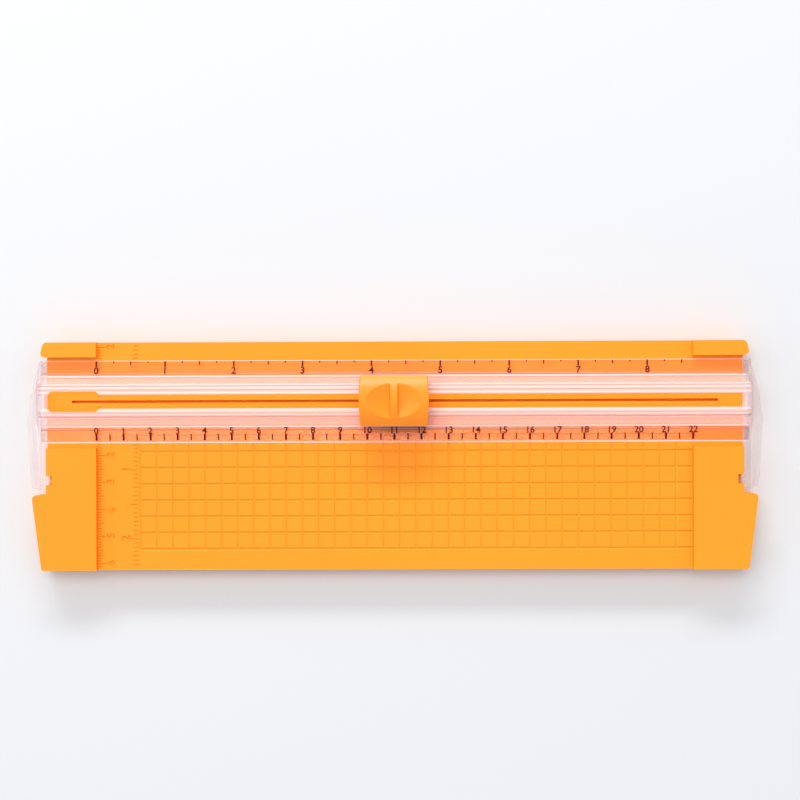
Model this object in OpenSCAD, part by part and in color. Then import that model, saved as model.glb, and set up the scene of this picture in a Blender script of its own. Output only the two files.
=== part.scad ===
// Sliding-blade paper trimmer, A5 size: a moulded base with a hinged clear rail,
// and a cutter head that slides along the rail and is pressed down to cut.
// X runs along the cut, Y from the user to the back, Z up.
// The origin is at the middle of the footprint, on the surface it stands on.

/* [Base] */
// Width of the deck between its straight side edges
deck_w = 257; // [250:1:270]
// Depth of the base from front to back
base_d = 84.2; // [82:0.2:90]
// Height of the deck's top surface
deck_h = 10; // [9:0.5:12]
// How far the corner blocks stand above the deck
block_rise = 3; // [2:0.5:3.5]
// Width of a corner block on the deck
block_w = 18.5; // [16:0.5:22]
// How far the wings stand out beside the deck
wing_out = 5.4; // [4:0.2:6]
// Thickness of the moulded walls
wall_t = 2; // [1.6:0.2:2.4]

/* [Cut] */
// Distance of the cutting line behind the middle of the base
cut_y = 20.2; // [19.8:0.1:20.4]
// Length of the groove that the blade runs in
groove_len = 239; // [236:0.2:240]
// Width of the groove
groove_w = 1; // [0.8:0.1:1.2]
// Depth of the groove
groove_depth = 2.6; // [2.2:0.1:3]

/* [Hinge] */
// Position of the hinge axis from the middle of the base, front to back
hinge_y = -8.9; // [-9.1:0.1:-8.7]
// Height of the hinge axis
hinge_z = 8; // [7.8:0.1:8.2]
// Diameter of the hinge nubs
nub_d = 3.9; // [3.7:0.1:4]
// Radius of the boss at the hinge end of an arm
boss_r = 4.6; // [4.2:0.1:4.8]

/* [Rail] */
// Gap between the deck and the underside of the rail, for the paper
paper_gap = 0.4; // [0.3:0.1:0.5]
// Thickness of the rail's flat zones
rail_t = 2.2; // [2:0.1:2.4]
// Height of the beads above the flat zones
bead_rise = 4.8; // [4.6:0.1:5]
// Width of the slot between the lips
slot_w = 5.2; // [5:0.1:5.3]
// Length of the loading gate near the left end of the slot
gate_len = 16.6; // [16.4:0.2:18]

/* [Cutter head] */
// Width of the press cap along the rail
cap_w = 25; // [24.6:0.2:25.4]
// Depth of the press cap across the rail
cap_d = 18.5; // [18.2:0.1:18.8]
// Height of the top of the press cap
cap_top = 25.8; // [25.4:0.2:27]
// Radius of the cap's crown
crown_r = 13.9; // [13.5:0.1:14.5]
// Depth of the finger dish
dish_depth = 2.5; // [2:0.1:2.6]
// Thickness of the finger fin
fin_t = 2.5; // [2:0.1:3]
// Thickness of the steel blade
blade_t = 0.4; // [0.3:0.1:0.5]

/* [Hidden] */
$fn = 48;
cut_over = 1;                            // how far a cutter runs past the face that it opens
deck_x = deck_w / 2;
half_d = base_d / 2;
wing_x = deck_x + wing_out;
block_x = deck_x - block_w;
block_h = deck_h + block_rise;
skirt_z = 1;                             // underside of the base's walls
foot_h = 1.6;
foot_r = 4.5;
foot_x = deck_x - 13;
foot_y = half_d - 12;
step_y = -14.3;                          // where the wings step out in front of the arms
front_block_y = 3.1;                     // back face of the front blocks
back_block_y = 36.6;                     // front face of the back blocks
nub_gap = 0.05;
nub_len = 2.1;
arm_x = deck_x + 0.6;                    // inner face of an arm
arm_t = 1.9;
arm_out_x = deck_x + 6.8;                // widest point of an arm's finger skirt
rail_z = deck_h + paper_gap;
rail_top = rail_z + rail_t;
bead_top = rail_top + bead_rise;
rail_x = arm_x + arm_t - 0.6;            // the rail ends inside the arms
slot_x = deck_x - 0.1;                   // the slot ends where the deck does
lip_z = bead_top - 1.9;                  // underside of the lips
channel_w = 9.2;                         // width of the channel under the lips
gate_x = -deck_x + 19.2;                 // right end of the loading gate
gate_w = 7.6;
gate_slant = 1.4;
shoe_w = 6.9;
shoe_len = 15.8;
shoe_t = 2.8;
neck_w = 4.6;
neck_len = 17.4;
saddle_z = bead_top + 0.4;
saddle_t = 1.5;
saddle_len = 22;
saddle_w = 12.4;
press_travel = 2.2;
skirt_gap = 1.1;                         // what is left under the cap's skirt when it is pressed
cap_skirt_z = rail_top + press_travel + skirt_gap;
cap_wall = 1.5;
cap_end_wall = 1.2;
cap_roof_z = cap_top - dish_depth - 1.5; // underside of the cap's roof
side_open_z = bead_top + press_travel + 0.5;
holder_len = 11.6;
holder_w = 2.2;
well_len = 12.2;
well_w = 2.8;
holder_z = rail_top + 0.4;
blade_len = 9;
blade_tip_z = rail_z + 0.4;
blade_shoulder_z = blade_tip_z + 3;
blade_top_z = cap_roof_z - 2;
peg_r = 1;
peg_z = blade_top_z - 2.6;
leg_x = 9.25;
leg_t = 0.8;
leg_w = 3;
barb = 0.65;
spring_x = 7.4;
spring_r = 1.05;
spring_wire = 0.4;
spring_turns = 4;
pocket_r = 1.3;
pocket_z = bead_top - 0.8;
core = [1.0, 0.71, 0.31];
steel = [0.75, 0.76, 0.78];

// Points of a rounded corner at p, with radius r, between the points a and b
function unit(v) = v / norm(v);
function fillet(a, p, b, r) =
    let (steps = r > 3 ? 10 : 5)
    let (u = unit(a - p), v = unit(b - p), half = acos(u * v) / 2)
    let (centre = p + unit(u + v) * r / sin(half))
    let (from = p + u * r / tan(half) - centre, to = p + v * r / tan(half) - centre)
    [for (i = [0:steps]) centre + unit(from * (1 - i / steps) + to * i / steps) * r];

// Outline from a list of [x, y, corner radius]
function outline(points) = [
    for (i = [0:len(points) - 1])
        let (a = points[(i + len(points) - 1) % len(points)], p = points[i])
        let (b = points[(i + 1) % len(points)])
        each (p[2] == 0 ? [[p[0], p[1]]]
            : fillet([a[0], a[1]], [p[0], p[1]], [b[0], b[1]], p[2]))
];

// The same outline on the other side of X = 0, in reverse order
function mirrored(points) = [for (i = [len(points) - 1:-1:0]) [-points[i][0], points[i][1], points[i][2]]];
function both_sides(points) = concat(points, mirrored(points));

// Right half of the base's footprint, drawn in by an inset
function base_half(inset = 0) = [
    [wing_x - 3.6 - inset, -half_d + inset, 1],
    [wing_x - inset, step_y - inset, 1.5],
    [deck_x - inset, step_y - inset, 0],
    [deck_x - inset, half_d - inset, 0]
];

// Right-hand corner blocks
function front_block() = [
    [block_x, -half_d, 0],
    [wing_x - 3.6, -half_d, 1],
    [wing_x, step_y, 1.5],
    [deck_x, step_y, 0],
    [deck_x, front_block_y, 0],
    [block_x, front_block_y, 0]
];
function back_block() = [
    [block_x, back_block_y, 0],
    [deck_x + 2.4, back_block_y, 1.5],
    [deck_x + 0.9, half_d, 1.5],
    [block_x, half_d, 0]
];

module plate(points, z0, z1) {
    translate([0, 0, z0]) linear_extrude(z1 - z0) polygon(outline(points));
}

module bar(x0, x1, y0, y1, z0, z1) {
    translate([x0, y0, z0]) cube([x1 - x0, y1 - y0, z1 - z0]);
}

// A profile given as [y, z] points, run along X
module run_x(points, x0, x1) {
    translate([x0, 0, 0]) rotate([90, 0, 90]) linear_extrude(x1 - x0) polygon(points);
}

module on_both_sides() {
    children();
    mirror([1, 0, 0]) children();
}

module rod_x(r, x0, x1, y, z) {
    translate([x0, y, z]) rotate([0, 90, 0]) cylinder(r = r, h = x1 - x0);
}

// Base: one moulding, hollow and ribbed underneath, with the blade's groove in the deck
module base_ribs() {
    rib_t = 1.2;
    rib_z = skirt_z + 1.4;
    roof_z = deck_h - wall_t + 0.2;
    for (y = [-30, -18, -6, 6, 32]) {
        bar(-deck_x + 1, deck_x - 1, y - rib_t / 2, y + rib_t / 2, rib_z, roof_z);
    }
    for (x = [-96:32:96]) {
        bar(x - rib_t / 2, x + rib_t / 2, -half_d + 1, half_d - 1, rib_z, roof_z);
    }
    bar(-deck_x + 1, deck_x - 1, cut_y - 2.5, cut_y + 2.5, rib_z, roof_z);
}

module hinge_post() {
    bar(deck_x - 6, deck_x - 0.5, hinge_y - 4.6, hinge_y + 4.6, skirt_z, block_h - 0.5);
}

module hinge_bearing() {
    mouth = nub_d - 0.5;
    bearing_x = deck_x - nub_len - 0.1;
    rod_x(nub_d / 2 + nub_gap, bearing_x, deck_x + cut_over, hinge_y, hinge_z);
    bar(bearing_x, deck_x + cut_over, hinge_y - mouth / 2, hinge_y + mouth / 2, hinge_z, block_h + cut_over);
}

module foot_boss(sx, sy) {
    translate([sx * foot_x, sy * foot_y, foot_h]) cylinder(r = foot_r + 1, h = deck_h - wall_t - foot_h + 0.2);
}

module groove_cut() {
    end_x = (groove_len - groove_w) / 2;
    bottom_z = deck_h - groove_depth;
    bar(-end_x, end_x, cut_y - groove_w / 2, cut_y + groove_w / 2, bottom_z, deck_h + cut_over);
    for (x = [-end_x, end_x]) {
        translate([x, cut_y, bottom_z]) cylinder(d = groove_w, h = groove_depth + cut_over, $fn = 24);
    }
}

module base_deck() {
    color(core) difference() {
        union() {
            difference() {
                union() {
                    plate(both_sides(base_half()), skirt_z, deck_h);
                    on_both_sides() plate(front_block(), skirt_z, block_h);
                    on_both_sides() plate(back_block(), skirt_z, block_h);
                }
                plate(both_sides(base_half(wall_t)), 0, deck_h - wall_t);
            }
            base_ribs();
            on_both_sides() hinge_post();
            for (sx = [-1, 1], sy = [-1, 1]) {
                foot_boss(sx, sy);
            }
        }
        groove_cut();
        on_both_sides() hinge_bearing();
    }
}

module foot(sx, sy) {
    color([0.2, 0.2, 0.21]) translate([sx * foot_x, sy * foot_y, 0]) union() {
        cylinder(r1 = foot_r - 0.4, r2 = foot_r, h = 0.4);
        translate([0, 0, 0.4]) cylinder(r = foot_r, h = foot_h - 0.4);
    }
}

// Rail: a front and a back half of one profile, joined by a bridge at each end
// Half profile, as [distance from the cutting line, height]
function rail_half(side, edge, strip, bead) = [
    for (p = [
        [channel_w / 2, rail_z],
        [edge, rail_z],
        [edge, rail_z + 0.8],
        [strip, rail_top - 0.1],
        [strip - 0.1, rail_top + 0.7],
        [strip - 0.6, rail_top + 0.7],
        [strip - 0.9, rail_top],
        [bead, rail_top],
        [bead, bead_top - 0.8],
        [bead - 0.8, bead_top],
        [slot_w / 2 + 0.4, bead_top],
        [slot_w / 2, bead_top - 0.4],
        [slot_w / 2, lip_z],
        [channel_w / 2, lip_z]
    ]) [cut_y + side * p[0], p[1]]
];
front_edge_u = 15.4;
front_strip_u = 9.5;
front_bead_u = 5.7;
back_edge_u = 15.1;
back_strip_u = 9.4;
back_bead_u = 6.6;

module rail_profile(x0, x1) {
    run_x(rail_half(-1, front_edge_u, front_strip_u, front_bead_u), x0, x1);
    run_x(rail_half(1, back_edge_u, back_strip_u, back_bead_u), x0, x1);
}

// The loading gate, with slanted ends that run back into the slot
gate_outline = [
    [gate_x, gate_w / 2], [gate_x + gate_slant, slot_w / 2 - 0.1],
    [gate_x + gate_slant, 0.1 - slot_w / 2], [gate_x, -gate_w / 2],
    [gate_x - gate_len, -gate_w / 2], [gate_x - gate_len - gate_slant, 0.1 - slot_w / 2],
    [gate_x - gate_len - gate_slant, slot_w / 2 - 0.1], [gate_x - gate_len, gate_w / 2]
];

module rail_bridge() {
    bar(slot_x, rail_x, cut_y - channel_w / 2 - 0.1, cut_y + channel_w / 2 + 0.1, rail_z, lip_z + 0.6);
}

module clear_rail() {
    color([0.95, 0.9, 0.88, 0.5]) difference() {
        union() {
            rail_profile(-rail_x, rail_x);
            on_both_sides() rail_bridge();
        }
        translate([0, cut_y, lip_z - 0.1]) linear_extrude(bead_top - lip_z + cut_over) polygon(gate_outline);
    }
}

// Arm: an inner plate that carries the rail's end and the hinge nub, and a curved finger skirt
arm_back_y = cut_y + back_edge_u;
arm_low_z = hinge_z - boss_r;
arm_front_y = hinge_y - boss_r;
web_z = rail_z + 1.6;
web_t = 1.2;
skirt_t = 1.2;
round_r = boss_r - 0.4;
skirt_curve = [
    [arm_x + 1.1, arm_back_y], [arm_x + 3.1, 30], [arm_x + 5.0, 23],
    [arm_out_x, 13], [arm_x + 5.6, 4], [arm_x + 5.2, -7.5], [arm_x + 4.4, -12]
];

// Side view of the plate, as [y, z, corner radius]
plate_side = [
    [arm_front_y, arm_low_z, round_r], [18, arm_low_z + 0.6, 0], [arm_back_y, 6.5, 2],
    [arm_back_y, rail_top + 0.8, 0.6], [30, rail_top + 1.6, 0], [cut_y + 7.5, bead_top + 0.8, 1.5],
    [cut_y - 7.5, bead_top + 0.8, 1.5], [10, rail_top + 1.6, 1], [4, rail_top + 0.2, 1],
    [arm_front_y, hinge_z + boss_r, round_r]
];
skirt_side = [
    [arm_front_y, arm_low_z, round_r], [arm_back_y, arm_low_z + 1, 2],
    [arm_back_y, web_z + web_t, 0.6], [4, web_z + web_t, 0], [arm_front_y, hinge_z + boss_r, round_r]
];

module arm_plate() {
    run_x(outline(plate_side), arm_x, arm_x + arm_t);
    rod_x(nub_d / 2, deck_x - nub_len, arm_x + 0.2, hinge_y, hinge_z);
}

module skirt_prism(inset) {
    closing = [[arm_x - 1, -14], [arm_x - 1, arm_back_y + 1]];
    linear_extrude(30) polygon(concat([for (p = skirt_curve) [p[0] - inset, p[1]]], closing));
}

module arm_skirt() {
    inner = arm_x + arm_t;
    difference() {
        intersection() {
            skirt_prism(0);
            run_x(outline(skirt_side), inner - 0.2, arm_out_x + 1);
        }
        intersection() {
            skirt_prism(skirt_t);
            bar(inner - 0.1, arm_out_x + 1, -20, arm_back_y - 3, -1, web_z);
        }
    }
}

module arm() {
    difference() {
        union() {
            arm_plate();
            arm_skirt();
        }
        rail_profile(arm_x - cut_over, rail_x);
        bar(arm_x - cut_over, rail_x, cut_y - channel_w / 2 - 0.1, cut_y + channel_w / 2 + 0.1, rail_z, lip_z + 0.6);
    }
}

module right_arm() {
    color([0.95, 0.92, 0.92, 0.5]) arm();
}

module left_arm() {
    color([0.95, 0.92, 0.92, 0.5]) mirror([1, 0, 0]) arm();
}

// Carriage: a shoe under the lips, a neck through the slot and a saddle over the beads
module carriage() {
    shoe_z = lip_z - 0.3 - shoe_t;
    color(core) translate([0, cut_y, 0]) difference() {
        union() {
            bar(-shoe_len / 2, shoe_len / 2, -shoe_w / 2, shoe_w / 2, shoe_z, lip_z - 0.3);
            bar(-neck_len / 2, neck_len / 2, -neck_w / 2, neck_w / 2, shoe_z, saddle_z + 0.1);
            bar(-saddle_len / 2, saddle_len / 2, -saddle_w / 2, saddle_w / 2, saddle_z, saddle_z + saddle_t);
        }
        bar(-well_len / 2, well_len / 2, -well_w / 2, well_w / 2, 0, cap_top);
        for (side = [-1, 1]) {
            translate([side * spring_x, 0, pocket_z]) cylinder(r = pocket_r, h = 10);
            translate([side * (leg_x + leg_t / 2), 0, saddle_z + saddle_t / 2])
                cube([leg_t + 0.5, leg_w + 0.6, saddle_t + 2], center = true);
        }
    }
}

// Press cap: a crowned shell with a finger dish on each side of a fin
module cap_body() {
    end_w = cap_w / 2 - 0.15;
    translate([0, 0, cap_skirt_z]) linear_extrude(cap_top - cap_skirt_z) polygon([
        [-end_w, -cap_d / 2], [end_w, -cap_d / 2], [cap_w / 2 + 0.25, 0],
        [end_w, cap_d / 2], [-end_w, cap_d / 2], [-cap_w / 2 - 0.25, 0]
    ]);
}

module cap_dish() {
    half_len = 9.65;
    dish_r = (half_len * half_len + dish_depth * dish_depth) / (2 * dish_depth);
    difference() {
        translate([0, 0, cap_top - dish_depth + dish_r]) sphere(r = dish_r, $fn = 96);
        bar(-fin_t / 2, fin_t / 2, -cap_d, cap_d, 0, 2 * cap_top);
    }
}

module cap_leg(side) {
    barb_z = saddle_z - 1.2;
    translate([side * leg_x, 0, 0]) scale([side, 1, 1]) {
        bar(0, leg_t, -leg_w / 2, leg_w / 2, barb_z, cap_roof_z + 0.2);
        bar(0, leg_t + barb, -leg_w / 2, leg_w / 2, barb_z, saddle_z - 0.1);
    }
}

module press_cap() {
    inner_w = cap_w / 2 - cap_end_wall;
    inner_d = cap_d / 2 - cap_wall;
    color(core) translate([0, cut_y, 0]) {
        difference() {
            intersection() {
                cap_body();
                rod_x(crown_r, -cap_w, cap_w, 0, cap_top - crown_r);
            }
            cap_dish();
            bar(-inner_w, inner_w, -inner_d, inner_d, 0, cap_roof_z);
            bar(-cap_w, cap_w, -inner_d, inner_d, 0, side_open_z);
        }
        for (side = [-1, 1]) {
            cap_leg(side);
        }
    }
}

// Blade cassette: two halves that clamp the blade on a peg
module holder_half(y0, y1) {
    bar(-holder_len / 2, holder_len / 2, y0, y1, holder_z, cap_roof_z);
}

module blade_holder_front() {
    color([0.93, 0.93, 0.92]) translate([0, cut_y, 0]) union() {
        holder_half(-holder_w / 2, -blade_t / 2);
        translate([0, -blade_t / 2 - 0.1, peg_z]) rotate([-90, 0, 0]) cylinder(r = peg_r, h = blade_t + 0.5);
    }
}

module blade_holder_back() {
    color([0.93, 0.93, 0.92]) translate([0, cut_y, 0]) difference() {
        holder_half(blade_t / 2, holder_w / 2);
        translate([0, 0, peg_z]) rotate([-90, 0, 0]) cylinder(r = peg_r + 0.05, h = holder_w);
    }
}

module blade() {
    half = blade_len / 2;
    color(steel) translate([0, cut_y, 0]) difference() {
        translate([0, blade_t / 2, 0]) rotate([90, 0, 0]) linear_extrude(blade_t) polygon([
            [0, blade_tip_z], [half, blade_shoulder_z], [half, blade_top_z],
            [-half, blade_top_z], [-half, blade_shoulder_z]
        ]);
        translate([0, -blade_t, peg_z]) rotate([-90, 0, 0]) cylinder(r = peg_r + 0.05, h = 2 * blade_t);
    }
}

// Return springs: one ring of points for each step along a helix
function coil_ring(t, height, sides) =
    let (a = 360 * spring_turns * t)
    let (z = spring_wire / 2 + (height - spring_wire) * t)
    [for (i = [0:sides - 1])
        let (b = 360 * i / sides, r = spring_r + spring_wire / 2 * cos(b))
        [r * cos(a), r * sin(a), z + spring_wire / 2 * sin(b)]];

module coil(height) {
    sides = 8;
    rings = spring_turns * 16;
    points = [for (k = [0:rings]) each coil_ring(k / rings, height, sides)];
    faces = concat(
        [[for (i = [0:sides - 1]) i]],
        [for (k = [0:rings - 1], i = [0:sides - 1])
            let (j = (i + 1) % sides, base = k * sides, next = base + sides)
            [base + i, next + i, next + j, base + j]],
        [[for (i = [sides - 1:-1:0]) rings * sides + i]]
    );
    polyhedron(points = points, faces = faces, convexity = 10);
}

module spring(side) {
    color(steel) translate([side * spring_x, cut_y, pocket_z + 0.02]) coil(cap_roof_z - pocket_z - 0.08);
}

base_deck();
foot(-1, -1);  // foot_front_left
foot(1, -1);  // foot_front_right
foot(-1, 1);  // foot_back_left
foot(1, 1);  // foot_back_right
clear_rail();
left_arm();
right_arm();
carriage();
press_cap();
blade_holder_front();
blade_holder_back();
blade();
spring(-1);  // spring_left
spring(1);  // spring_right
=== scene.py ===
from math import atan2, cos, pi, radians, sin, sqrt

import bmesh
import bpy
from mathutils import Matrix, Vector


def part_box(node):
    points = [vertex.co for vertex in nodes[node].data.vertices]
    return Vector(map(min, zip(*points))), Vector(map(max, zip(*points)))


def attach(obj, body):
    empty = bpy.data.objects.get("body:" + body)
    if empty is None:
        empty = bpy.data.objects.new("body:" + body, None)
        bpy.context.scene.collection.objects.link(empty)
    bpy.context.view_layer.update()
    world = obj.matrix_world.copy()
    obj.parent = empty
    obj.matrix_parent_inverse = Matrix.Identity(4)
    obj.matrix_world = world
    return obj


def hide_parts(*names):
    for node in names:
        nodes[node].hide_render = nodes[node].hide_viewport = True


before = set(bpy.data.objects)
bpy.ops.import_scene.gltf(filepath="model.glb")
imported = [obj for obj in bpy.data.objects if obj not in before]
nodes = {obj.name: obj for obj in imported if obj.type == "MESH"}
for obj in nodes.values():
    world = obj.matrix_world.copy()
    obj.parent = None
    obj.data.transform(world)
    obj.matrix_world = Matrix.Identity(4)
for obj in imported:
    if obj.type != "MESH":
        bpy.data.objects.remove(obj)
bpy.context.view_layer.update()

MM = 0.001

# ---------------------------------------------------------------- places, from the frame
DECK_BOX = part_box("base_deck")
RAIL_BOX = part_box("clear_rail")
CAP_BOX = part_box("press_cap")
BLADE_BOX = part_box("blade")

CUT_Y = (BLADE_BOX[0].y + BLADE_BOX[1].y) / 2
HALF_D = DECK_BOX[1].y
BLOCK_Z = DECK_BOX[1].z
DECK_Z = BLOCK_Z - 3 * MM
BLOCK_X = 110 * MM                       # inner side of the corner blocks
HINGE_Y = -9 * MM                        # line of the hinge nubs
RAIL_FRONT = RAIL_BOX[0].y
RAIL_BACK = RAIL_BOX[1].y
RAIL_Z = RAIL_BOX[0].z
RAIL_TOP = RAIL_Z + 2.2 * MM
BEAD_TOP = RAIL_BOX[1].z
EDGE_Z = RAIL_Z + 0.8 * MM
FRONT_STRIP = 5.9 * MM                   # widths of the sloping ruler strips
BACK_STRIP = 5.6 * MM
SCALE_X0 = -BLOCK_X                      # both scales start at the left block


# ---------------------------------------------------------------- node material helpers
class Mat:
    """A node material with short helpers for its nodes and links."""

    def __init__(self, name):
        self.mat = bpy.data.materials.new(name)
        self.mat.use_nodes = True
        self.nt = self.mat.node_tree
        self.bsdf = self.nt.nodes["Principled BSDF"]
        self.out = self.nt.nodes["Material Output"]
        self.coord = self.add("ShaderNodeTexCoord").outputs["Object"]

    def add(self, kind, **props):
        node = self.nt.nodes.new(kind)
        for key, value in props.items():
            setattr(node, key, value)
        return node

    def link(self, a, b):
        self.nt.links.new(a, b)

    def set(self, **values):
        for key, value in values.items():
            self.bsdf.inputs[key.replace("_", " ")].default_value = value

    def math(self, op, a, b=0.0):
        node = self.add("ShaderNodeMath", operation=op)
        for socket, value in zip(node.inputs, (a, b)):
            if isinstance(value, (int, float)):
                socket.default_value = value
            else:
                self.link(value, socket)
        return node.outputs[0]

    def noise(self, scale, detail=3.0, stretch=(1, 1, 1)):
        mapping = self.add("ShaderNodeMapping")
        mapping.inputs["Scale"].default_value = stretch
        self.link(self.coord, mapping.inputs["Vector"])
        node = self.add("ShaderNodeTexNoise")
        node.inputs["Scale"].default_value = scale
        node.inputs["Detail"].default_value = detail
        self.link(mapping.outputs[0], node.inputs["Vector"])
        return node.outputs["Fac"]

    def span(self, value, low, high, a, b):
        """Maps low..high of a value to a..b."""
        node = self.add("ShaderNodeMapRange")
        self.link(value, node.inputs["Value"])
        for key, number in zip(("From Min", "From Max", "To Min", "To Max"), (low, high, a, b)):
            node.inputs[key].default_value = number
        return node.outputs[0]

    def mix(self, fac, a, b):
        node = self.add("ShaderNodeMix", data_type="RGBA")
        self.link(fac, node.inputs["Factor"])
        node.inputs["A"].default_value = (*a, 1)
        node.inputs["B"].default_value = (*b, 1)
        return node.outputs["Result"]

    def mix_shader(self, fac, a, b):
        node = self.add("ShaderNodeMixShader")
        if isinstance(fac, (int, float)):
            node.inputs[0].default_value = fac
        else:
            self.link(fac, node.inputs[0])
        self.link(a, node.inputs[1])
        self.link(b, node.inputs[2])
        return node.outputs[0]

    def diffuse(self, colour):
        node = self.add("ShaderNodeBsdfDiffuse")
        node.inputs["Color"].default_value = (*colour, 1)
        return node.outputs[0]

    def bump(self, height, strength, distance):
        node = self.add("ShaderNodeBump")
        node.inputs["Strength"].default_value = strength
        node.inputs["Distance"].default_value = distance
        self.link(height, node.inputs["Height"])
        self.link(node.outputs[0], self.bsdf.inputs["Normal"])


def orange_plastic(name, dark, light, grain, rough):
    """Moulded ABS: warm orange with faint flow variation and a fine spark-eroded texture."""
    m = Mat(name)
    flow = m.noise(14, 4, stretch=(0.35, 1, 1))
    m.link(m.mix(m.span(flow, 0.3, 0.7, 0, 1), dark, light), m.bsdf.inputs["Base Color"])
    m.link(m.span(m.noise(90, 4), 0.3, 0.7, rough - 0.05, rough + 0.05), m.bsdf.inputs["Roughness"])
    m.set(IOR=1.53, Subsurface_Weight=0.06, Subsurface_Scale=1.5 * MM)
    m.bsdf.inputs["Subsurface Radius"].default_value = (1.0, 0.35, 0.1)
    m.bump(m.noise(3200, 2), grain, 0.06 * MM)
    return m.mat


def clear_plastic(name, tint, see_through):
    """Clear acrylic: refracting, partly straight-through like a thin wall, and open to lamp light."""
    m = Mat(name)
    m.set(Base_Color=(*tint, 1), Transmission_Weight=1.0, IOR=1.49)
    m.link(m.span(m.noise(160, 3), 0.3, 0.7, 0.02, 0.06), m.bsdf.inputs["Roughness"])
    m.bump(m.noise(240, 2, stretch=(0.1, 1, 1)), 0.08, 0.04 * MM)
    thin = m.add("ShaderNodeBsdfTransparent")
    thin.inputs["Color"].default_value = (*tint, 1)
    body = m.mix_shader(see_through, m.bsdf.outputs[0], thin.outputs[0])
    return m, body


def finish_clear(m, body, lamp_tint):
    """Lets lamp light through the clear body in a faint tint, instead of shadowing it."""
    lamp = m.add("ShaderNodeBsdfTransparent")
    lamp.inputs["Color"].default_value = (*lamp_tint, 1)
    path = m.add("ShaderNodeLightPath")
    m.link(m.mix_shader(path.outputs["Is Shadow Ray"], body, lamp.outputs[0]), m.out.inputs["Surface"])
    return m.mat


# Painted highlight and shade lines along the rail's moulded edges, in mm: distance from the cutting line,
# half-width, strength
PAINTED_HIGHLIGHT_LINES = (
    (15.1, 0.3, 0.5),
    (9.3, 0.3, 0.55),
    (6.2, 0.3, 0.35),
    (5.0, 0.4, 0.5),
    (3.2, 0.4, 0.5),
)
PAINTED_SHADE_LINES = (
    (10.3, 0.35, 0.75),
    (5.7, 0.25, 0.7),
    (4.2, 0.3, 0.7),
)
PAINTED_SHEEN = (0.98, 0.90, 0.93)                # colour of the painted sheen and the painted highlight lines
EDGE_SHADE = (0.56, 0.31, 0.22)


def clear_rail_plastic():
    """The rail's acrylic: a painted white sheen over the flats and beads, and a painted highlight or painted
    shade line along each moulded edge.
    """
    m, body = clear_plastic("clear_rail_acrylic", (0.95, 0.84, 0.83), 0.3)
    axes = m.add("ShaderNodeSeparateXYZ")
    m.link(m.coord, axes.inputs[0])
    off = m.math("ABSOLUTE", m.math("SUBTRACT", axes.outputs["Y"], CUT_Y))

    def line(centre, half, strength):
        away = m.math("ABSOLUTE", m.math("SUBTRACT", off, centre * MM))
        return m.span(away, half * 0.4 * MM, half * MM, strength, 0.0)

    # Painted sheen: a white matt colour over the flats, and more over the beads, standing for the reflection
    # of the bright surroundings
    painted_sheen_flats = m.span(off, 9.0 * MM, 9.4 * MM, 0.24, 0.0)
    painted_sheen_beads = m.span(off, 5.7 * MM, 6.2 * MM, 0.12, 0.0)
    painted_highlight = m.math("ADD", painted_sheen_flats, painted_sheen_beads)
    # Painted highlights: a bright line along the lit moulded edges
    for edge in PAINTED_HIGHLIGHT_LINES:
        painted_highlight = m.math("MAXIMUM", painted_highlight, line(*edge))
    # dark: painted shade lines along the other moulded edges
    dark = line(*PAINTED_SHADE_LINES[0])
    for edge in PAINTED_SHADE_LINES[1:]:
        dark = m.math("MAXIMUM", dark, line(*edge))
    # The painted sheen and highlights, then the painted shade lines, are mixed over the glass as matt
    # colours
    veiled = m.mix_shader(painted_highlight, body, m.diffuse(PAINTED_SHEEN))
    lined = m.mix_shader(dark, veiled, m.diffuse(EDGE_SHADE))
    return finish_clear(m, lined, (0.99, 0.86, 0.82))


def clear_arm_plastic():
    """The arms' acrylic: almost colourless, with a painted grey shade where its walls are seen edge-on."""
    m, body = clear_plastic("clear_arm_acrylic", (0.995, 0.982, 0.985), 0.72)
    facing = m.add("ShaderNodeLayerWeight")
    facing.inputs["Blend"].default_value = 0.5
    # Painted shade: a grey matt colour mixed in where the walls are seen edge-on, standing for their dark
    # refraction there
    rim = m.span(facing.outputs["Facing"], 0.88, 0.98, 0.02, 0.30)
    veiled = m.mix_shader(rim, body, m.diffuse((0.66, 0.58, 0.60)))
    return finish_clear(m, veiled, (0.99, 0.97, 0.975))


def plain_plastic(name, colour, low, high):
    """A matt material of one colour, with roughness from low to high."""
    m = Mat(name)
    dark = tuple(c * 0.9 for c in colour)
    m.link(m.mix(m.noise(300, 3), dark, colour), m.bsdf.inputs["Base Color"])
    m.link(m.span(m.noise(600, 3), 0.3, 0.7, low, high), m.bsdf.inputs["Roughness"])
    m.bump(m.noise(1800, 2), 0.15, 0.05 * MM)
    return m.mat


def steel(name, stretch):
    """Ground steel, its fine lines drawn out by stretch."""
    m = Mat(name)
    m.set(Metallic=1.0)
    lines = m.noise(900, 3, stretch=stretch)
    m.link(m.mix(lines, (0.62, 0.63, 0.65), (0.80, 0.81, 0.83)), m.bsdf.inputs["Base Color"])
    m.link(m.span(lines, 0.3, 0.7, 0.22, 0.36), m.bsdf.inputs["Roughness"])
    m.bump(lines, 0.2, 0.03 * MM)
    return m.mat


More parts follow.
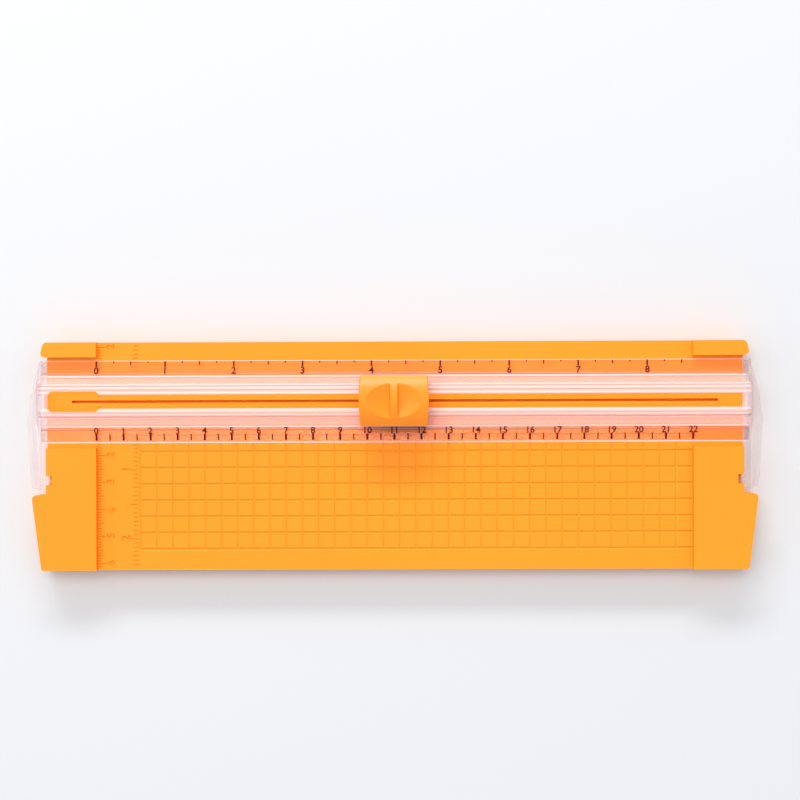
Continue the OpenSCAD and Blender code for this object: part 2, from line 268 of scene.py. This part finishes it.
ORANGE = orange_plastic("orange_abs", (0.98, 0.295, 0.002), (1.0, 0.32, 0.003), 0.25, 0.49)
ORANGE_CAP = orange_plastic("orange_abs_fine", (0.98, 0.265, 0.001), (1.0, 0.285, 0.002), 0.15, 0.38)
CLEAR = clear_rail_plastic()
CLEAR_ARM = clear_arm_plastic()
RUBBER = plain_plastic("foot_rubber", (0.05, 0.05, 0.055), 0.75, 0.9)
WHITE = plain_plastic("cassette_plastic", (0.86, 0.86, 0.84), 0.4, 0.5)
INK = plain_plastic("scale_ink", (0.085, 0.004, 0.006), 0.8, 0.9)
BLADE_STEEL = steel("blade_steel", (1, 1, 0.05))
SPRING_STEEL = steel("spring_steel", (1, 1, 1))


# ---------------------------------------------------------------- mesh helpers
WORK = 1000                              # fine cuts are made on a mesh this many times larger
FACET_LIMIT = radians(0.6)               # faces closer to flat than this are merged
SHARP_EDGE = radians(28)                 # edges sharper than this are rounded


def scaled(mesh, factor):
    mesh.transform(Matrix.Scale(factor, 4))
    return mesh


def new_object(name, mesh_or_bm, material, smooth_deg=35):
    """Adds an object from a mesh or a bmesh, shaded smooth up to smooth_deg."""
    if isinstance(mesh_or_bm, bmesh.types.BMesh):
        mesh = bpy.data.meshes.new(name)
        mesh_or_bm.to_mesh(mesh)
        mesh_or_bm.free()
    else:
        mesh = mesh_or_bm
    obj = bpy.data.objects.new(name, mesh)
    bpy.context.scene.collection.objects.link(obj)
    mesh.materials.clear()
    mesh.materials.append(material)
    mesh.shade_smooth()
    mesh.set_sharp_from_angle(angle=radians(smooth_deg))
    return obj


def bake(obj):
    """Replaces an object's mesh with the result of its modifiers."""
    depsgraph = bpy.context.evaluated_depsgraph_get()
    mesh = bpy.data.meshes.new_from_object(obj.evaluated_get(depsgraph))
    old = obj.data
    obj.modifiers.clear()
    obj.data = mesh
    bpy.data.meshes.remove(old)


def flat_planes(mesh):
    """Shades the faces that lie square to an axis flat, and the rounded ones between them smooth."""
    for face in mesh.polygons:
        face.use_smooth = max(abs(v) for v in face.normal) < 0.99998


def face_normals(obj):
    """Lets the large faces set the shading of the small rounded ones beside them."""
    normals = obj.modifiers.new("normals", "WEIGHTED_NORMAL")
    normals.keep_sharp = True
    normals.weight = 100


def soften(obj, width, segments):
    """Merges flat facets, then rounds the moulded edges, by modifiers."""
    flat = obj.modifiers.new("flat", "DECIMATE")
    flat.decimate_type = "DISSOLVE"
    flat.angle_limit = FACET_LIMIT
    bevel = obj.modifiers.new("round", "BEVEL")
    bevel.width = width
    bevel.segments = segments
    bevel.limit_method = "ANGLE"
    bevel.angle_limit = SHARP_EDGE
    face_normals(obj)


def prism(bm, points, direction, place):
    """Closed prism: a cross-section of (a, b) points, swept along direction from place(a, b)."""
    first = [bm.verts.new(place(a, b)) for a, b in points]
    last = [bm.verts.new(v.co + direction) for v in first]
    n = len(points)
    bm.faces.new(first)
    bm.faces.new(last[::-1])
    for i in range(n):
        bm.faces.new((first[i], last[i], last[(i + 1) % n], first[(i + 1) % n])[::-1])


def text_mesh(bm, string, size, matrix, depth):
    """Adds one line of generic numerals, centred, as a closed solid on both sides of its plane."""
    curve = bpy.data.curves.new("numeral", "FONT")
    curve.body = string
    curve.size = size * WORK
    curve.align_x = "CENTER"
    curve.align_y = "CENTER"
    curve.extrude = depth * WORK
    curve.offset = 0.018 * size * WORK
    curve.resolution_u = 3
    obj = bpy.data.objects.new("numeral", curve)
    bpy.context.scene.collection.objects.link(obj)
    depsgraph = bpy.context.evaluated_depsgraph_get()
    mesh = bpy.data.meshes.new_from_object(obj.evaluated_get(depsgraph))
    mesh.transform(matrix @ Matrix.Scale(1 / WORK, 4))
    bm.from_mesh(mesh)
    bpy.data.objects.remove(obj)
    bpy.data.curves.remove(curve)
    bpy.data.meshes.remove(mesh)


# ---------------------------------------------------------------- base: grid, moulded scales, numerals
GRID_PITCH = 6 * MM
GRID_ROWS = 8
GRID_X0 = -94 * MM
GRID_Y0 = -34.4 * MM
CM_TICKS_X = -BLOCK_X                    # the moulded centimetre ticks start here, the inch ticks end here
INCH_TICKS_X = -94.8 * MM
CM_DIGITS_X = -104.9 * MM
INCH_DIGITS_X = -99.4 * MM
MOULDED_DIGIT = 4.1 * MM
DIGIT_DEPTH = 0.45 * MM
DIGIT_SHIFT = 0.4 * MM                   # numerals stand a little behind their ticks
TICK_DEPTH = 0.3 * MM
BASE_ROUND = 0.9 * MM
INCH = 25.4 * MM
CM = 10 * MM


def line_section(half, depth):
    """Cross-section of a moulded line, as (across, height) points, with soft shoulders."""
    shoulder = half * 0.62
    bottom = half * 0.25
    above = 0.05 * MM
    return [(-half, above), (-half, 0.0), (-shoulder, -depth * 0.3), (-bottom, -depth), (bottom, -depth),
            (shoulder, -depth * 0.3), (half, 0.0), (half, above)]


def line_x(bm, x0, x1, y, half, depth):
    prism(bm, line_section(half, depth), Vector((x1 - x0, 0, 0)), lambda a, b: (x0, y + a, DECK_Z + b))


def line_y(bm, y0, y1, x, half, depth):
    section = line_section(half, depth)[::-1]
    prism(bm, section, Vector((0, y1 - y0, 0)), lambda a, b: (x + a, y0, DECK_Z + b))


def grid_lines(bm):
    rows = [GRID_Y0 + GRID_PITCH * i for i in range(GRID_ROWS)]
    for y in rows:
        line_x(bm, GRID_X0, BLOCK_X - 0.1 * MM, y, 0.55 * MM, 0.36 * MM)
    columns = int(round((BLOCK_X - GRID_X0) / GRID_PITCH))
    for i in range(columns):
        x = GRID_X0 + GRID_PITCH * i
        line_y(bm, GRID_Y0, rows[-1], x, 0.5 * MM, 0.28 * MM)


def moulded_ticks(bm):
    """Centimetre ticks by the left block and inch ticks by the grid, counted from the cutting line."""
    for i in range(-20, 63):
        y = CUT_Y - i * CM / 10
        if y < -HALF_D + 1 * MM or abs(i) < 2:
            continue
        length = 3.1 if i % 10 == 0 else 2.2 if i % 5 == 0 else 1.5
        line_x(bm, CM_TICKS_X + 0.1 * MM, CM_TICKS_X + length * MM, y, 0.24 * MM, TICK_DEPTH)
    for i in range(-13, 40):
        y = CUT_Y - i * INCH / 16
        if y < -HALF_D + 1 * MM or abs(i) < 2:
            continue
        length = 3.0 if i % 8 == 0 else 1.9 if i % 2 == 0 else 1.5
        line_x(bm, INCH_TICKS_X - length * MM, INCH_TICKS_X, y, 0.26 * MM, TICK_DEPTH)


def moulded_numerals(bm):
    turn = Matrix.Rotation(pi / 2, 4, "Z")
    for x, unit, numbers in ((CM_DIGITS_X, CM, (-2, 2, 3, 4, 5, 6)), (INCH_DIGITS_X, INCH, (1, 2))):
        for i in numbers:
            place = Matrix.Translation((x, CUT_Y - i * unit + DIGIT_SHIFT, DECK_Z)) @ turn
            text_mesh(bm, str(abs(i)), MOULDED_DIGIT, place, DIGIT_DEPTH)


def engrave(base, bm, self_crossing=False):
    """Cuts the solids of bm out of the enlarged base."""
    bmesh.ops.scale(bm, vec=(WORK, WORK, WORK), verts=bm.verts)
    bmesh.ops.remove_doubles(bm, verts=bm.verts, dist=0.002)
    bmesh.ops.recalc_face_normals(bm, faces=bm.faces)
    cutter = new_object("cutter", bm, ORANGE)
    cut = base.modifiers.new("engrave", "BOOLEAN")
    cut.object = cutter
    cut.operation = "DIFFERENCE"
    cut.solver = "EXACT"
    cut.use_self = self_crossing
    bake(base)
    bpy.data.objects.remove(cutter)


def round_weight(edge):
    """How far a base edge is rounded, from 0 to 1: full on the long outer edges, little in small details."""
    if len(edge.link_faces) != 2 or edge.calc_face_angle(0) < SHARP_EDGE or not edge.is_convex:
        return 0.0
    middle = (edge.verts[0].co + edge.verts[1].co) / 2 / WORK
    if middle.z < DECK_Z - 1 * MM or abs(middle.y - CUT_Y) < 1.5 * MM:
        return 0.0
    if abs(middle.x) > BLOCK_X + 10 * MM and abs(middle.y - HINGE_Y) < 5.2 * MM:
        return 0.15                      # the notches for the hinge nubs
    return 1.0 if edge.calc_length() / WORK > 0.6 * MM else 0.4


def build_base():
    """A rounded copy of the CAD base with the grid, ticks and numerals cut into it."""
    mesh = scaled(nodes["base_deck"].data.copy(), WORK)
    base = new_object("base_moulding", mesh, ORANGE)
    flat = base.modifiers.new("flat", "DECIMATE")
    flat.decimate_type = "DISSOLVE"
    flat.angle_limit = FACET_LIMIT
    bake(base)
    bm = bmesh.new()
    bm.from_mesh(base.data)
    weight = bm.edges.layers.float.new("bevel_weight_edge")
    for edge in bm.edges:
        edge[weight] = round_weight(edge)
    bm.to_mesh(base.data)
    bm.free()
    bevel = base.modifiers.new("round", "BEVEL")
    bevel.width = BASE_ROUND * WORK
    bevel.segments = 6
    bevel.limit_method = "WEIGHT"
    bevel.use_clamp_overlap = False
    bake(base)
    for shapes, self_crossing in ((grid_lines, True), (moulded_ticks, False), (moulded_numerals, False)):
        bm = bmesh.new()
        shapes(bm)
        engrave(base, bm, self_crossing)
    scaled(base.data, 1 / WORK)
    base.data.shade_smooth()
    base.data.set_sharp_from_angle(angle=radians(25))
    flat_planes(base.data)
    face_normals(base)
    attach(base, "base")
    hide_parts("base_deck")


build_base()


# ---------------------------------------------------------------- rail: printed scales
INK_LIFT = 0.03 * MM                     # the ink's middle stands this far off the strip
TICK_HALF = 0.02 * MM                    # half the thickness of the ink of a tick and of a digit
DIGIT_HALF = 0.015 * MM
FRONT_TICK_T = 1.1 * MM                  # distances from the rail's edge to the ticks and digits
FRONT_DIGIT_T = 4.55 * MM
BACK_TICK_T = 0.15 * MM
BACK_DIGIT_T = 3.85 * MM
FRONT_DIGIT = 3.5 * MM
BACK_DIGIT = 3.6 * MM


def strip_matrix(x, t, front):
    """A frame on a ruler strip: X along it, Y up its slope for a reader in front, Z out of it."""
    width = FRONT_STRIP if front else BACK_STRIP
    rise = RAIL_TOP - 0.1 * MM - EDGE_Z
    edge = RAIL_FRONT if front else RAIL_BACK
    slope = atan2(rise, width) * (1 if front else -1)
    y = edge + t * (1 if front else -1)
    z = EDGE_Z + t / width * rise + INK_LIFT
    return Matrix.Translation((x, y, z)) @ Matrix.Rotation(slope, 4, "X")


def tick(bm, x, t, length, width, front):
    """A printed tick as a thin closed bar on the strip, from t inward."""
    frame_at = strip_matrix(x, t, front)
    sign = 1 if front else -1
    corners = [(-width / 2, 0), (width / 2, 0), (width / 2, length * sign), (-width / 2, length * sign)]
    low = [bm.verts.new(frame_at @ Vector((a, b, -TICK_HALF))) for a, b in corners]
    top = [bm.verts.new(frame_at @ Vector((a, b, TICK_HALF))) for a, b in corners]
    bm.faces.new(low[::-1])
    bm.faces.new(top)
    for i in range(4):
        j = (i + 1) % 4
        bm.faces.new((low[i], low[j], top[j], top[i]))


def printed_front():
    """0 to 22 cm, with half centimetres."""
    bm = bmesh.new()
    for i in range(0, 45):
        x = SCALE_X0 + i * CM / 2
        whole = i % 2 == 0
        tick(bm, x, FRONT_TICK_T, 2.4 * MM, (0.75 if whole else 0.45) * MM, True)
        if whole:
            text_mesh(bm, str(i // 2), FRONT_DIGIT, strip_matrix(x, FRONT_DIGIT_T, True), DIGIT_HALF)
    return bm


def printed_back():
    """0 to 8 inches, with quarters, the last two past the 8."""
    bm = bmesh.new()
    for i in range(0, 35):
        x = SCALE_X0 + i * INCH / 4
        length = 2.2 if i % 4 == 0 else 1.5 if i % 2 == 0 else 0.8
        tick(bm, x, BACK_TICK_T, length * MM, (0.6 if i % 4 == 0 else 0.42) * MM, False)
        if i % 4 == 0:
            text_mesh(bm, str(i // 4), BACK_DIGIT, strip_matrix(x, BACK_DIGIT_T, False), DIGIT_HALF)
    return bm


for name, bm in (("printed_scale_front", printed_front()), ("printed_scale_back", printed_back())):
    bmesh.ops.recalc_face_normals(bm, faces=bm.faces)
    print_obj = new_object(name, bm, INK, 20)
    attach(print_obj, "rail_arm")


# ---------------------------------------------------------------- cutter head: press cap
CAP_HALF_X = CAP_BOX[1].x - 0.4 * MM
CAP_HALF_Y = 9.25 * MM
CAP_TOP = CAP_BOX[1].z
CAP_SKIRT = RAIL_TOP + 3.3 * MM
CROWN_R = 13.9 * MM
DISH_LEN = 9.65 * MM
DISH_DEPTH = 2.5 * MM
FIN_HALF = 1.25 * MM
FIN_FLANK = 0.3 * MM                     # how far the fin's sides spread on their way down
CAP_WALL = 1.5 * MM
CAP_END_WALL = 1.2 * MM
LEG_X = (9.25 * MM, 10.05 * MM, 10.7 * MM)   # a snap leg's inner side, outer side and barb
LEG_HALF_Y = 1.5 * MM
BARB_H = 1.1 * MM


def smooth_min(a, b, k):
    """The lesser of a and b, rounded over where they differ by less than k."""
    h = max(k - abs(a - b), 0) / k
    return min(a, b) - h * h * k / 4


def cap_height(x, y):
    """Height of the cap's top: a crown across the rail, with the dish sunk in except at the fin."""
    crown = CAP_TOP - CROWN_R + sqrt(CROWN_R ** 2 - y * y)
    dish_r = (DISH_LEN ** 2 + DISH_DEPTH ** 2) / (2 * DISH_DEPTH)
    dish = CAP_TOP - DISH_DEPTH + dish_r - sqrt(max(dish_r ** 2 - x * x - y * y, 0))
    dished = smooth_min(crown, dish, 0.12 * MM)
    wall = min(max((abs(x) - FIN_HALF) / FIN_FLANK, 0), 1)
    wall = wall * wall * (3 - 2 * wall)
    return crown + (dished - crown) * wall


def spaced(stops, step):
    """Positions from a list of stops, each interval divided to at most step."""
    out = [stops[0]]
    for a, b in zip(stops, stops[1:]):
        n = max(1, round((b - a) / step))
        out += [a + (b - a) * i / n for i in range(1, n + 1)]
    return out


def cap_solid():
    """The cap's outer form: a height grid for the top, with rounded borders, and walls to the skirt."""
    edge = 0.45 * MM
    fine = [FIN_HALF + FIN_FLANK * i / 5 for i in range(6)]
    half = [0.0] + fine + [DISH_LEN, CAP_HALF_X - edge]
    xs = spaced(sorted(set([-v for v in half] + half)), 0.36 * MM)
    ys = spaced([-CAP_HALF_Y + edge, 0.0, CAP_HALF_Y - edge], 0.3 * MM)
    ring = [(edge * (1 - cos(a)), edge * sin(a)) for a in (pi / 2 * i / 4 for i in range(1, 5))]
    bm = bmesh.new()
    bulge = 0.4 * MM

    def side(y):
        return 1 + bulge / CAP_HALF_X * (1 - abs(y) / CAP_HALF_Y)

    top = [[bm.verts.new((x * side(y), y, cap_height(x, y))) for x in xs] for y in ys]
    for j in range(len(ys) - 1):
        for i in range(len(xs) - 1):
            bm.faces.new((top[j][i], top[j][i + 1], top[j + 1][i + 1], top[j + 1][i]))
    nx, ny = len(xs), len(ys)
    border = [(i, 0) for i in range(nx)] + [(nx - 1, j) for j in range(1, ny)]
    border += [(i, ny - 1) for i in range(nx - 2, -1, -1)] + [(0, j) for j in range(ny - 2, 0, -1)]

    def outward(i, j):
        v = Vector(((i == nx - 1) - (i == 0), (j == ny - 1) - (j == 0), 0))
        return v.normalized()

    last = [top[j][i] for i, j in border]
    start = [v.co.copy() for v in last]
    for out_by, down in [(r[1], r[0]) for r in ring] + [(edge, None)]:
        row = []
        for k, (i, j) in enumerate(border):
            co = start[k] + outward(i, j) * out_by
            co.z = CAP_SKIRT if down is None else start[k].z - down
            row.append(bm.verts.new(co))
        for k in range(len(row)):
            n = (k + 1) % len(row)
            bm.faces.new((last[k], row[k], row[n], last[n]))
        last = row
    bm.faces.new(last)
    bmesh.ops.recalc_face_normals(bm, faces=bm.faces)
    bmesh.ops.translate(bm, verts=bm.verts, vec=(0, CUT_Y, 0))
    return bm


def add_box(bm, low, high):
    centre = (Vector(low) + Vector(high)) / 2
    size = Vector(high) - Vector(low)
    matrix = Matrix.Translation(centre) @ Matrix.Diagonal((*size, 1))
    bmesh.ops.create_cube(bm, size=1, matrix=matrix)


def build_cap():
    """The cap's shell, hollowed to fit over the carriage, with its two snap legs."""
    cap = new_object("press_cap_shell", cap_solid(), ORANGE_CAP)
    roof = CAP_TOP - DISH_DEPTH - CAP_WALL
    side_open = BEAD_TOP + 2.7 * MM
    inner_x = CAP_HALF_X - CAP_END_WALL
    inner_y = CAP_HALF_Y - CAP_WALL
    for low, high in (
        ((-inner_x, CUT_Y - inner_y, 0), (inner_x, CUT_Y + inner_y, roof)),
        ((-1, CUT_Y - inner_y, 0), (1, CUT_Y + inner_y, side_open)),
    ):
        bm = bmesh.new()
        add_box(bm, low, high)
        cutter = new_object("cutter", bm, ORANGE_CAP)
        cut = cap.modifiers.new("hollow", "BOOLEAN")
        cut.object = cutter
        cut.operation = "DIFFERENCE"
        cut.solver = "EXACT"
        bake(cap)
        bpy.data.objects.remove(cutter)
    bm = bmesh.new()
    bm.from_mesh(cap.data)
    saddle = BEAD_TOP + 0.4 * MM
    foot = saddle - 1.2 * MM
    for side in (-1, 1):
        inner, outer, barb = (side * x for x in LEG_X)
        for end, top in ((outer, roof + 0.2 * MM), (barb, foot + BARB_H)):
            low = (min(inner, end), CUT_Y - LEG_HALF_Y, foot)
            add_box(bm, low, (max(inner, end), CUT_Y + LEG_HALF_Y, top))
    bm.to_mesh(cap.data)
    bm.free()
    cap.data.shade_smooth()
    cap.data.set_sharp_from_angle(angle=radians(32))
    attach(cap, "cap")
    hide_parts("press_cap")


build_cap()


# ---------------------------------------------------------------- carried-over CAD nodes
def dress(node, material, width=None, segments=2):
    """Gives a CAD node its material and, with a width, rounded edges."""
    obj = nodes[node]
    obj.data.materials.clear()
    obj.data.materials.append(material)
    obj.data.shade_smooth()
    obj.data.set_sharp_from_angle(angle=radians(35))
    if width:
        soften(obj, width, segments)


dress("clear_rail", CLEAR, 0.22 * MM, 3)
for node in ("left_arm", "right_arm"):
    dress(node, CLEAR_ARM, 0.25 * MM, 3)
dress("carriage", ORANGE_CAP, 0.15 * MM, 2)
for node in ("foot_front_left", "foot_front_right", "foot_back_left", "foot_back_right"):
    dress(node, RUBBER, 0.2 * MM, 2)
for node in ("blade_holder_front", "blade_holder_back"):
    dress(node, WHITE, 0.1 * MM, 2)
dress("blade", BLADE_STEEL, 0.04 * MM, 1)
for node in ("spring_left", "spring_right"):
    dress(node, SPRING_STEEL)


# ---------------------------------------------------------------- floor, light, camera
def build_floor():
    m = Mat("floor_white")
    m.link(m.mix(m.noise(3, 2), (0.692, 0.698, 0.712), (0.704, 0.710, 0.724)), m.bsdf.inputs["Base Color"])
    m.set(Roughness=0.9, Specular_IOR_Level=0.2)
    bm = bmesh.new()
    bmesh.ops.create_grid(bm, x_segments=1, y_segments=1, size=3)
    new_object("floor", bm, m.mat)


def area_light(name, place, size, power):
    """A rectangular light of size (width, height) in metres, aimed at the part."""
    light = bpy.data.lights.new(name, "AREA")
    light.shape = "RECTANGLE"
    light.size, light.size_y = size
    light.energy = power
    obj = bpy.data.objects.new(name, light)
    bpy.context.scene.collection.objects.link(obj)
    obj.location = place
    obj.rotation_euler = (-Vector(place)).to_track_quat("-Z", "Y").to_euler()
    return obj


build_floor()
area_light("key_back", (-0.25, 1.55, 0.9), (1.3, 0.32), 19.0)
key_top = area_light("key_top", (-0.15, 0.45, 1.8), (1.0, 0.6), 10.5)
key_top.visible_glossy = False           # it would mirror as a white patch on the rail's flat strips
area_light("haze_left", (-0.7, 0.62, 1.5), (0.3, 0.12), 1.6)
area_light("fill_left", (-1.5, 0.1, 1.0), (1.2, 1.2), 2.5)

world = bpy.data.worlds.new("studio")
bpy.context.scene.world = world
world.use_nodes = True
background = world.node_tree.nodes["Background"]
background.inputs["Color"].default_value = (0.97, 0.98, 1.0, 1)
background.inputs["Strength"].default_value = 0.70

CAMERA_D = 650 * MM                      # from the deck
VIEW_W = 295.7 * MM                      # width of the view at the deck
CAMERA_X = 2.1 * MM                      # the point the camera looks at
CAMERA_Y = 20.45 * MM
TILT = radians(0.5)
ROLL = radians(-0.2)
SENSOR = 36                              # mm

camera_data = bpy.data.cameras.new("camera")
camera_data.sensor_width = SENSOR
camera_data.lens = SENSOR * CAMERA_D / VIEW_W
camera = bpy.data.objects.new("camera", camera_data)
bpy.context.scene.collection.objects.link(camera)
camera.location = (CAMERA_X + CAMERA_D * sin(TILT), CAMERA_Y, DECK_Z + CAMERA_D * cos(TILT))
camera.rotation_euler = (0, TILT, ROLL)
bpy.context.scene.camera = camera

bpy.context.scene.view_settings.view_transform = "Standard"
bpy.context.scene.view_settings.look = "None"
